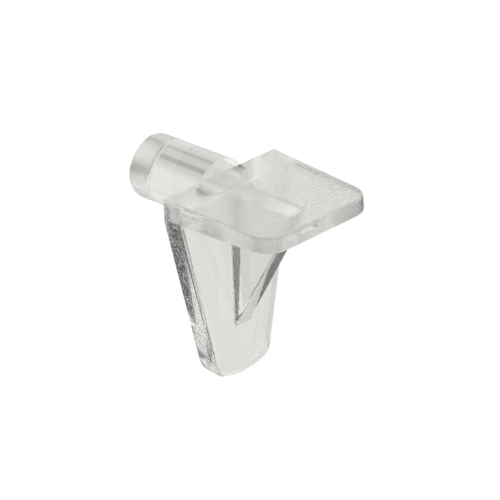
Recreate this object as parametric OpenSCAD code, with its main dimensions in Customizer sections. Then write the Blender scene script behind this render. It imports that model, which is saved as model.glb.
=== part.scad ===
// Clear moulded shelf support pin, one piece.
// A round pin stands on the wall face and goes into the cabinet side.
// A shelf plate reaches out over a tapered leg that bears on the wall,
// and a thin triangular gusset ties the plate to the leg.
// Y runs along the pin with the wall face at zero, Z is up, X runs across.

/* [Pin] */
// Diameter of the round pin
pin_d = 5; // [4:0.1:6]
// Length of the pin beyond the wall face
pin_length = 7.15; // [5:0.05:10]
// Rounding of the edge at the pin's free end
pin_edge_r = 0.2; // [0.1:0.05:0.6]

/* [Shelf plate] */
// Width of the plate at the wall, and of the leg below it
plate_w = 11.55; // [9.5:0.05:15]
// How far each side of the plate draws in by its front edge
side_taper = 0.37; // [0.1:0.01:0.8]
// Depth of the plate from the wall face to its front edge
plate_depth = 10.3; // [8.5:0.05:14]
// Height of the plate's top above the pin's axis, at the wall
plate_top_z = 1.38; // [0.8:0.01:2]
// Thickness of the plate at the wall
plate_wall_t = 1.78; // [1.4:0.01:2.4]
// Thickness of the plate at its front edge
plate_front_t = 1.27; // [0.9:0.01:1.4]
// Radius of the plate's two front corners, seen from above
plate_corner_r = 1.85; // [0.8:0.05:2.5]
// Rounding of the plate's front and side edges
plate_edge_r = 0.22; // [0.1:0.01:0.4]

/* [Leg] */
// Depth of the leg's tip below the pin's axis, at the wall face
leg_drop = 14.55; // [12:0.05:18]
// How much higher the tip ends at the leg's front face
leg_rise = 0.1; // [0.05:0.05:0.6]
// Thickness of the leg under the plate
leg_t = 1.75; // [1.4:0.05:2.4]
// Thickness of the leg at its tip
leg_tip_t = 1.65; // [1.3:0.05:2.1]
// Width of the leg across its two tip corners, before they round off
leg_tip_w = 5.95; // [5.4:0.05:7.5]
// Radius of each tip corner at the front face
leg_tip_r = 1.35; // [0.9:0.05:1.8]
// Radius of each tip corner at the wall face
leg_wall_r = 2.6; // [2:0.05:2.7]
// How far the front face's tip bows down between its corners
leg_crown = 0.25; // [0.05:0.05:0.4]
// Rounding of the leg's front edges under the plate
leg_edge_r = 0.4; // [0.2:0.05:0.8]
// Rounding of the front edge round the tip
leg_tip_edge_r = 0.35; // [0.2:0.05:0.6]

/* [Gusset] */
// Thickness of the gusset at the leg
gusset_t = 1.7; // [1.2:0.05:2.4]
// Thickness of the gusset under the plate's front
gusset_front_t = 1.45; // [1:0.05:1.6]
// Reach of the gusset along the plate, from the wall face
gusset_reach = 7.8; // [5.5:0.05:8.2]
// Depth of the gusset's foot on the leg, below the pin's axis
gusset_drop = 10.3; // [7:0.05:11.5]
// Rounding of the gusset's two long edges
gusset_edge_r = 0.25; // [0.1:0.05:0.45]
// Radius of the fillets at the gusset's roots
root_r = 0.2; // [0.1:0.05:0.5]

/* [Hidden] */
// Height of the plate's level underside
under_z = plate_top_z - plate_wall_t;
// Centres of the tip corners' rounds at the front face
tip_x = leg_tip_w / 2 - leg_tip_r;
tip_z = leg_rise + leg_crown + leg_tip_r - leg_drop;
// Draws per millimetre: side faces, plate top, leg front and gusset sides
side_slope = side_taper / plate_depth;
top_slope = (plate_wall_t - plate_front_t) / plate_depth;
front_slope = (leg_t - leg_tip_t) / (under_z - tip_z);
gusset_slope = (gusset_t - gusset_front_t) / 2 / (gusset_reach - leg_t);
// What a rounding's radius grows to, measured square to the body's axes,
// where it lies tangent to a side face, the plate's top or the leg's front
side_step = sqrt(1 + side_slope * side_slope);
top_step = sqrt(1 + top_slope * top_slope);
front_step = sqrt(1 + front_slope * front_slope);
// How far the forms run past the wall face before they are trimmed flush
over = 0.3;
// How far one form is sunk into the next where they fuse
sink = 0.4;
// Height in the plate up to which the leg's full width carries on
leg_top_z = plate_top_z - plate_wall_t / 2;
// Facets of the small rounded edges and of the wider corners
edge_fn = 32;
corner_fn = 64;

// Half width of the plate and leg at a distance y along the pin's axis
function half_width(y) = plate_w / 2 + y * side_slope;
// Height of the plate's top at y
function top_z(y) = plate_top_z + y * top_slope;
// Half thickness of the gusset at y
function gusset_half(y) = gusset_t / 2 + (y + leg_t) * gusset_slope;
// Front face of the leg at height z
function leg_front(z) = -leg_t + (under_z - z) * front_slope;

// Round disc that stands past the wall face, its flat sides facing along Y
module wall_disc(r) {
    translate([0, over, 0])
        rotate([-90, 0, 0])
            cylinder(r = r, h = over, $fn = corner_fn);
}

// Ring with a round section, which gives a corner its rounded edge
module edge_ring(r, edge_r) {
    rotate_extrude($fn = corner_fn)
        translate([r - edge_r, 0])
            circle(r = edge_r, $fn = edge_fn);
}

// Everything on the shelf side of the wall face
module shelf_side() {
    reach = plate_depth + leg_drop;
    translate([-reach, -reach, -reach])
        cube([2 * reach, reach, 2 * reach]);
}

// Round pin with a rounded free end
module pin() {
    pin_r = pin_d / 2;
    rotate([-90, 0, 0])
        rotate_extrude($fn = 96) {
            square([pin_r - pin_edge_r, pin_length]);
            square([pin_r, pin_length - pin_edge_r]);
            translate([pin_r - pin_edge_r, pin_length - pin_edge_r])
                circle(r = pin_edge_r, $fn = 48);
        }
}

// Plate with a level underside, a top that falls towards the front,
// sides that draw in, rounded front corners and rounded edges
module plate_form() {
    corner_y = plate_corner_r - plate_depth;
    corner_x = half_width(corner_y) - plate_corner_r * side_step;
    top_ring_z = top_z(corner_y) - plate_edge_r * top_step;
    wall_x = half_width(over) - plate_edge_r;
    hull()
        for (side = [-1, 1]) {
            translate([side * corner_x, corner_y, top_ring_z])
                rotate([atan(top_slope), 0, 0])
                    edge_ring(plate_corner_r, plate_edge_r);
            translate([side * corner_x, corner_y, under_z + plate_edge_r])
                edge_ring(plate_corner_r, plate_edge_r);
            translate([side * wall_x, 0, top_z(over) - plate_edge_r])
                wall_disc(plate_edge_r);
            translate([side * wall_x, 0, under_z + plate_edge_r])
                wall_disc(plate_edge_r);
        }
}

// Leg with straight flanks that taper from the plate's full width to a
// rounded tip, a drafted front face and rounded front edges
module leg_form() {
    post_y = leg_edge_r - leg_t;
    post_x = half_width(post_y) - leg_edge_r * side_step;
    // Angle of the flanks, which run from the plate's sides to the tip corners
    flank = [plate_w / 2 - tip_x, under_z - tip_z];
    flank_a = atan(flank.x / flank.y) - asin(leg_tip_r / norm(flank));
    // Height of the round's centre and its radius: low in the front face, at
    // the wall face, and carried on past the wall on the same slopes
    ring_y = leg_front(tip_z) + leg_tip_edge_r * front_step;
    front_c = [tip_z - leg_crown, leg_tip_r + side_slope * ring_y * cos(flank_a)];
    wall_c = [leg_wall_r - leg_drop, leg_wall_r];
    past_c = wall_c + (front_c - wall_c) * over / ring_y;
    // Its centre past the wall lies one radius inside the flank
    flank_x = half_width(over) - (under_z - past_c[0]) * tan(flank_a);
    past_x = flank_x - past_c[1] / cos(flank_a);
    hull() {
        for (side = [-1, 1]) {
            translate([side * past_x, 0, past_c[0]])
                wall_disc(past_c[1]);
            translate([side * post_x, post_y, under_z])
                cylinder(r = leg_edge_r, h = leg_top_z - under_z, $fn = edge_fn);
        }
        for (t = [-1:0.5:1])
            translate([t * tip_x, ring_y, tip_z - leg_crown * (1 - t * t)])
                rotate([atan(front_slope) - 90, 0, 0])
                    edge_ring(front_c[1], leg_tip_edge_r);
        translate([-half_width(over), over, under_z])
            cube([2 * half_width(over), over, leg_top_z - under_z]);
    }
}

// Triangular gusset with drafted sides and two rounded long edges
module gusset_form() {
    foot = [leg_front(-gusset_drop), -gusset_drop];
    head = [-gusset_reach, under_z];
    slant = atan((foot.x - head.x) / (head.y - foot.y));
    along = [-sin(slant), cos(slant)];
    inward = [cos(slant), sin(slant)];
    // The long edges' axes lie one radius inside the sloping face
    low = foot + gusset_edge_r * inward - sink * along;
    high = head + gusset_edge_r * inward + sink * along;
    edge_l = norm(high - low);
    root_y = sink - leg_t;
    hull()
        for (side = [-1, 1]) {
            low_x = side * (gusset_half(low.x) - gusset_edge_r);
            high_x = side * (gusset_half(high.x) - gusset_edge_r);
            translate([low_x, low.x, low.y])
                rotate([slant, 0, 0])
                    rotate([0, atan((high_x - low_x) / edge_l), 0])
                        cylinder(r = gusset_edge_r, h = edge_l, $fn = edge_fn);
            translate([side * (gusset_half(root_y) - sink / 2) - sink / 2, root_y, low.y])
                cube([sink, sink / 2, high.y - low.y]);
        }
}

// Concave fillet along Z in the corner between X and Y, cut by a round
module cove(length) {
    linear_extrude(length)
        difference() {
            translate([-sink / 2, -sink / 2])
                square(root_r + sink / 2);
            translate([root_r, root_r])
                circle(r = root_r, $fn = 48);
        }
}

// Side outline of the gusset, wide enough to take in its root fillets
module gusset_outline() {
    width = gusset_t + 4 * root_r;
    translate([-width / 2, 0, 0])
        rotate([90, 0, 90])
            linear_extrude(width)
                polygon([
                    [leg_front(-gusset_drop), -gusset_drop],
                    [-gusset_reach, under_z],
                    [-gusset_reach, under_z + sink],
                    [sink - leg_t, under_z + sink],
                    [sink - leg_t, -gusset_drop],
                ]);
}

// Fillets that lead the gusset's sides into the leg and the plate
module root_fillets() {
    intersection() {
        gusset_outline();
        union()
            for (side = [0, 1])
                mirror([side, 0, 0]) {
                    translate([gusset_half(-leg_t), -leg_t, under_z])
                        rotate([180 + atan(front_slope), 0, 0])
                            cove(gusset_drop + under_z);
                    translate([gusset_half(-gusset_reach), -gusset_reach, under_z])
                        rotate([-90, 0, -atan(gusset_slope)])
                            cove(gusset_reach);
                }
    }
}

module shelf_support() {
    color([0.87, 0.88, 0.85])
        union() {
            pin();
            intersection() {
                union() {
                    plate_form();
                    leg_form();
                }
                shelf_side();
            }
            gusset_form();
            root_fillets();
        }
}

shelf_support();
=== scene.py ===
import math

import bmesh
import bpy
from mathutils import Matrix, Vector


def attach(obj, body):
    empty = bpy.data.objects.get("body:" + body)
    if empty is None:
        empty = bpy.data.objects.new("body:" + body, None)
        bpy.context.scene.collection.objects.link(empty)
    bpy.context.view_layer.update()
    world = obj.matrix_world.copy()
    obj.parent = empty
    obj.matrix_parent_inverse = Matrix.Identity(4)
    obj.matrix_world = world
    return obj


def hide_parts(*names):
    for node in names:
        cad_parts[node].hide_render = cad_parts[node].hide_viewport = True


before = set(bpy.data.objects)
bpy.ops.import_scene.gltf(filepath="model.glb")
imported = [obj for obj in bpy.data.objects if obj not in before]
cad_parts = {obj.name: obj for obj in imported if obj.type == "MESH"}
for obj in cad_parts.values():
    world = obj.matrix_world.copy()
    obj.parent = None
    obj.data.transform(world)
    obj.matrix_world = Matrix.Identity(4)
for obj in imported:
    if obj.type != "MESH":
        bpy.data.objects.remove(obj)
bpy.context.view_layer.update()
print("stage: frame loaded")

mm = 0.001


# small helpers
def linearColour(hexText):
    # sRGB hex to linear values
    parts = [int(hexText[i:i + 2], 16) / 255 for i in (1, 3, 5)]
    return [c / 12.92 if c <= 0.04045 else ((c + 0.055) / 1.055) ** 2.4 for c in parts] + [1.0]


def direction(azimuth, elevation):
    # degrees to a unit vector: azimuth 0 is the front, 90 the right
    az, el = math.radians(azimuth), math.radians(elevation)
    return (math.sin(az) * math.cos(el), -math.cos(az) * math.cos(el), math.sin(el))


def addNode(tree, kind, settings=None, **inputs):
    # one node, with its settings and then its inputs: a value, or the socket that feeds it
    node = tree.nodes.new(kind)
    for name, value in (settings or {}).items():
        setattr(node, name, value)
    for name, value in inputs.items():
        key = int(name[1:]) if name[0] == "i" and name[1:].isdigit() else name.replace("_", " ")
        if isinstance(value, bpy.types.NodeSocket):
            tree.links.new(value, node.inputs[key])
        else:
            node.inputs[key].default_value = value
    return node


def emptyTree(owner):
    owner.use_nodes = True
    owner.node_tree.nodes.clear()
    return owner.node_tree


# the moulding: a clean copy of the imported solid, with its roundings shaded smooth
moulding = {
    "node": "shelf_support",
    "slot": "clear_plastic",
    "mergeDistance": 0.0001 * mm,   # corners this close become one
    "flatAngle": 0.2,      # degrees, faces that lie this flat become one
    "smoothAngle": 24.0,   # degrees, edges sharper than this stay crisp
    "flatsWeight": 50,     # large faces lead the shading next to small ones
}


def buildMoulding(spec):
    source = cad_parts[spec["node"]]
    bm = bmesh.new()
    bm.from_mesh(source.data)
    bmesh.ops.remove_doubles(bm, verts=bm.verts, dist=spec["mergeDistance"])
    bmesh.ops.dissolve_limit(bm, angle_limit=math.radians(spec["flatAngle"]),
                             verts=bm.verts, edges=bm.edges)
    sharp = math.radians(spec["smoothAngle"])
    for face in bm.faces:
        face.smooth = True
    for edge in bm.edges:
        edge.smooth = edge.calc_face_angle(0.0) < sharp
    mesh = bpy.data.meshes.new("clearMoulding")
    bm.to_mesh(mesh)
    bm.free()
    piece = bpy.data.objects.new("clearMoulding", mesh)
    bpy.context.scene.collection.objects.link(piece)
    weigh = piece.modifiers.new("flatsLead", "WEIGHTED_NORMAL")
    weigh.mode = "FACE_AREA"
    weigh.weight = spec["flatsWeight"]
    weigh.keep_sharp = True
    bpy.context.view_layer.update()
    finished = bpy.data.meshes.new_from_object(
        piece.evaluated_get(bpy.context.evaluated_depsgraph_get()))
    piece.modifiers.clear()
    piece.data = finished
    return piece


# where one wall of the mould ends and the next begins: places in millimetres, and how far
# a face's normal leans along an axis, from 0 to 1
mouldWalls = {
    "pinStart": 0.05,        # the pin stands past the wall face
    "endLean": 0.7,
    "wallFaceStart": -0.1,
    "wallFaceLean": 0.9,
    "plateBottom": -0.7,
    "middleHalf": 0.1,       # faces centred on the middle line are the gusset's
    "middleTop": 0.5,        # up to this height, and the plate's above it
    "seatLean": 0.8,
    "sideLean": 0.8,
    "ribHalf": 1.3,
    "ribStart": -1.9,
    "flankLean": 0.95,
    "roundingLean": 0.3,
}


def nameSkin(centre, normal, wall):
    # which wall of the mould made a face, from where it is and which way it looks
    x, y, z = (v / mm for v in centre)
    leanX = abs(normal.x)
    if y > wall["pinStart"]:
        return "pinEnd" if normal.y > wall["endLean"] else "pin"
    if normal.y > wall["wallFaceLean"] and y > wall["wallFaceStart"]:
        return "wallFace"
    offMiddle = abs(x) > wall["middleHalf"]
    if (z > wall["plateBottom"] and offMiddle) or z > wall["middleTop"]:
        if normal.z > wall["seatLean"]:
            return "seat"
        if normal.z < -wall["seatLean"]:
            return "underside"
        return "plateSide" if leanX > wall["sideLean"] else "plateFront"
    if abs(x) < wall["ribHalf"] and y < wall["ribStart"]:
        return "rib"
    if leanX > wall["flankLean"]:
        return "nearFlank" if x < 0 else "farFlank"
    return "legRounding" if leanX > wall["roundingLean"] else "legFront"


# clear polycarbonate, injection moulded: near water-clear inside, so its edges and flanks
# flash light and dark, while each wall of the mould leaves its own skin: the polished rib
# and leg show what lies behind them, and the lightly frosted seat blurs it
clearPlastic = {
    "tint": "#fdfef9",
    "ior": 1.585,
    "skins": {                  # roughness, and how strongly the tool's pits show
        "seat": (0.26, 0.85),
        "plateSide": (0.16, 0.50),
        "plateFront": (0.26, 0.40),
        "underside": (0.22, 0.15),
        "pin": (0.08, 0.0),
        "pinEnd": (0.28, 0.0),
        "wallFace": (0.10, 0.0),
        "nearFlank": (0.05, 1.3),
        "farFlank": (0.05, 0.15),
        "legRounding": (0.08, 0.05),
        "legFront": (0.10, 0.0),
        "rib": (0.06, 0.14),
    },
    # spark erosion leaves pits of some 0.03 mm in the tool; they are drawn wider to show
    "pitSpacing": 0.13 * mm,
    "pitDepth": 0.02 * mm,
    "pitRim": (0.53, 0.72),     # where in the noise a pit starts and where it is full
}


def paintSkins(mesh, spec, walls):
    layers = [mesh.attributes.new(name, "FLOAT", "FACE").data
              for name in ("skinRoughness", "skinPits")]
    for face in mesh.polygons:
        finish = spec["skins"][nameSkin(face.center, face.normal, walls)]
        for layer, value in zip(layers, finish):
            layer[face.index].value = value


def makeClearPlastic(spec):
    material = bpy.data.materials.new("clearPolycarbonate")
    tree = emptyTree(material)
    place = addNode(tree, "ShaderNodeTexCoord")
    rough = addNode(tree, "ShaderNodeAttribute", {"attribute_name": "skinRoughness"})
    share = addNode(tree, "ShaderNodeAttribute", {"attribute_name": "skinPits"})
    noise = addNode(tree, "ShaderNodeTexNoise", Vector=place.outputs["Object"],
                    Scale=1 / spec["pitSpacing"], Detail=1.0, Roughness=0.5)
    pits = addNode(tree, "ShaderNodeMapRange", {"interpolation_type": "SMOOTHSTEP"},
                   Value=noise.outputs["Fac"], From_Min=spec["pitRim"][0],
                   From_Max=spec["pitRim"][1])
    depth = addNode(tree, "ShaderNodeMath", {"operation": "MULTIPLY"},
                    i0=pits.outputs["Result"], i1=share.outputs["Fac"])
    bump = addNode(tree, "ShaderNodeBump", {"invert": True}, Strength=1.0,
                   Distance=spec["pitDepth"], Height=depth.outputs[0])
    shader = addNode(tree, "ShaderNodeBsdfPrincipled", Base_Color=linearColour(spec["tint"]),
                     Roughness=rough.outputs["Fac"], IOR=spec["ior"],
                     Transmission_Weight=1.0, Normal=bump.outputs["Normal"])
    addNode(tree, "ShaderNodeOutputMaterial", Surface=shader.outputs["BSDF"])
    return material


piece = buildMoulding(moulding)
paintSkins(piece.data, clearPlastic, mouldWalls)
piece.data.materials.clear()
piece.data.materials.append(makeClearPlastic(clearPlastic))
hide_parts(moulding["node"])
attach(piece, "root")
print("stage: moulding built,", len(piece.data.polygons), "faces")

# camera: a long lens from the front left, a little above
camera = {
    "azimuth": -44.097,      # degrees, as are the next two
    "elevation": 25.695,
    "roll": -2.780,
    "distance": 300 * mm,
    "target": (-0.210 * mm, -3.0 * mm, -3.826 * mm),
    "lens": 295.23,          # millimetres
    "clip": (0.01, 20),      # metres
}


def placeCamera(spec):
    az, roll = math.radians(spec["azimuth"]), math.radians(spec["roll"])
    back = Vector(direction(spec["azimuth"], spec["elevation"]))
    right = Vector((math.cos(az), math.sin(az), 0))
    up = back.cross(right)
    rolledRight = math.cos(roll) * right + math.sin(roll) * up
    rolledUp = -math.sin(roll) * right + math.cos(roll) * up
    place = Vector(spec["target"]) + back * spec["distance"]
    data = bpy.data.cameras.new("longLens")
    data.lens = spec["lens"]
    data.clip_start, data.clip_end = spec["clip"]
    obj = bpy.data.objects.new("longLens", data)
    obj.matrix_world = Matrix((
        (rolledRight.x, rolledUp.x, back.x, place.x),
        (rolledRight.y, rolledUp.y, back.y, place.y),
        (rolledRight.z, rolledUp.z, back.z, place.z),
        (0, 0, 0, 1)))
    bpy.context.scene.collection.objects.link(obj)
    bpy.context.scene.camera = obj


placeCamera(camera)

# white studio: the camera sees plain white, and the plastic shows a plain level with soft
# round cards set round it. Light that goes straight through, light that has bounced once
# inside the plastic and light that has bounced more often each have cards of their own,
# which give its flanks and rounded edges their pale and dark bands. Each kind has a plain
# level, then cards as name, azimuth, elevation, half size and soft edge in degrees, and
# level; a later card covers an earlier one
room = {
    "backdrop": 1.0,   # what the camera sees
    "plain": 0.75,     # what lights anything dull, such as the floor
    "through": (0.79, [
        ("wideGreyLow", 156, -45, 22, 8, 0.60),
        ("smallDark", 139, 9, 5, 2, 0.04),
        ("lowerStreak", 145, -37, 3, 2, 0.40),
        ("upperStreak", 165, -49, 3, 2, 0.42),
    ]),
    "once": (0.65, [
        ("wideDarkRight", 63, -32, 43, 6, 0.00),
        ("paleRightLow", 63, -43, 24, 6, 1.30),
        ("smallDarkBack", 213, 8, 8, 6, 0.00),
        ("paleFront", 36, 6, 15, 6, 1.30),
        ("paleRightHigh", 112, 41, 24, 6, 1.30),
        ("greyBackLow", 208, -42, 22, 8, 0.82),
    ]),
    "more": (1.28, [
        ("darkRight", 66, -1, 33, 6, 0.00),
        ("widePaleLow", 325, -57, 49, 18, 1.06),
        ("darkBackRight", 118, 8, 20, 6, 0.00),
        ("darkFrontLeft", 312, -12, 16, 6, 0.00),
        ("wideDarkBack", 185, 3, 40, 6, 0.00),
        ("darkBackRightLow", 125, -22, 13, 6, 0.00),
        ("darkLeft", 250, 11, 16, 6, 0.00),
        ("smallDarkLow", 76, -54, 9, 6, 0.00),
        ("darkFront", 11, 12, 19, 6, 0.00),
        ("darkOverhead", 215, 74, 29, 13, 0.25),
    ]),
}


def choose(tree, test, no, yes, label=""):
    # one value where the test is 0, the other where it is 1, and a blend between
    return addNode(tree, "ShaderNodeMix", {"data_type": "FLOAT", "label": label},
                   i0=test, i2=no, i3=yes).outputs[0]


def hangCards(tree, way, level, cards):
    for name, azimuth, elevation, size, edge, strength in cards:
        facing = addNode(tree, "ShaderNodeVectorMath", {"operation": "DOT_PRODUCT"}, i0=way,
                         i1=direction(azimuth, elevation))
        outer, inner = math.radians(size + edge), math.radians(max(size - edge, 0))
        cover = addNode(tree, "ShaderNodeMapRange", {"interpolation_type": "SMOOTHSTEP"},
                        Value=facing.outputs["Value"], From_Min=math.cos(outer),
                        From_Max=math.cos(inner))
        level = choose(tree, cover.outputs["Result"], level, strength, name)
    return level


def makeRoom(spec):
    world = bpy.data.worlds.new("whiteRoom")
    bpy.context.scene.world = world
    world.cycles.sampling_method = "NONE"
    tree = emptyTree(world)
    way = addNode(tree, "ShaderNodeTexCoord").outputs["Generated"]
    path = addNode(tree, "ShaderNodeLightPath")
    through, once, more = (hangCards(tree, way, *spec[k]) for k in ("through", "once", "more"))
    # Glossy Depth counts how often the light has bounced inside the plastic
    hasBounced, hasBouncedTwice = (
        addNode(tree, "ShaderNodeMath", {"operation": "GREATER_THAN"},
                i0=path.outputs["Glossy Depth"], i1=count).outputs[0] for count in (0.5, 1.5))
    seen = choose(tree, hasBounced, through, once)
    seen = choose(tree, hasBouncedTwice, seen, more)
    seen = choose(tree, path.outputs["Is Diffuse Ray"], seen, spec["plain"])
    seen = choose(tree, path.outputs["Is Camera Ray"], seen, spec["backdrop"])
    light = addNode(tree, "ShaderNodeBackground", Color=(1, 1, 1, 1), Strength=seen)
    addNode(tree, "ShaderNodeOutputWorld", Surface=light.outputs[0])


# matt painted board, spray painted: an even off-white floor without grain or sheen
floor = {
    "tint": "#f4f4f2",
    "size": 8.0,          # metres, so that its edge is never near
    "drop": 65 * mm,      # well under the part, which hangs clear of it
}

# soft lamp overhead, for the floor's shadow; the plastic does not show it
lamp = {
    "share": 0.25,        # what it adds to the room's light
    "tilt": 35,           # degrees from straight down
    "turn": -20,          # degrees
    "softness": 60,       # degrees, its size in the sky
}


def hideFromPlastic(obj):
    obj.visible_glossy = False
    obj.visible_transmission = False


def layFloor(spec, plain, lampShare):
    half = spec["size"] / 2
    mesh = bpy.data.meshes.new("paintedFloor")
    mesh.from_pydata([(-half, -half, 0), (half, -half, 0), (half, half, 0), (-half, half, 0)],
                     [], [(0, 1, 2, 3)])
    board = bpy.data.objects.new("paintedFloor", mesh)
    board.location.z = -spec["drop"]
    hideFromPlastic(board)
    bpy.context.scene.collection.objects.link(board)
    material = bpy.data.materials.new("paintedBoard")
    tree = emptyTree(material)
    colour = linearColour(spec["tint"])
    lit = plain + lampShare
    path = addNode(tree, "ShaderNodeLightPath")
    # what the paint lacks to be white is added for the camera only, so the shadow stays
    shader = addNode(tree, "ShaderNodeBsdfPrincipled", Base_Color=colour, Roughness=1.0,
                     Specular_IOR_Level=0.0,
                     Emission_Color=[1 - lit * c for c in colour[:3]] + [1.0],
                     Emission_Strength=path.outputs["Is Camera Ray"])
    addNode(tree, "ShaderNodeOutputMaterial", Surface=shader.outputs["BSDF"])
    mesh.materials.append(material)


def hangLamp(spec):
    tilt = math.radians(spec["tilt"])
    data = bpy.data.lights.new("softLamp", "SUN")
    data.angle = math.radians(spec["softness"])
    data.energy = math.pi * spec["share"] / math.cos(tilt)
    obj = bpy.data.objects.new("softLamp", data)
    obj.rotation_euler = (tilt, 0, math.radians(spec["turn"]))
    hideFromPlastic(obj)
    bpy.context.scene.collection.objects.link(obj)


makeRoom(room)
layFloor(floor, room["plain"], lamp["share"])
hangLamp(lamp)
print("stage: room lit")

# how often light may bounce, enough for the many walls of the clear plastic
bounces = {"max_bounces": 24, "transmission_bounces": 24, "glossy_bounces": 16}

scene = bpy.context.scene
scene.view_settings.view_transform = "Standard"
for kind, count in bounces.items():
    setattr(scene.cycles, kind, count)
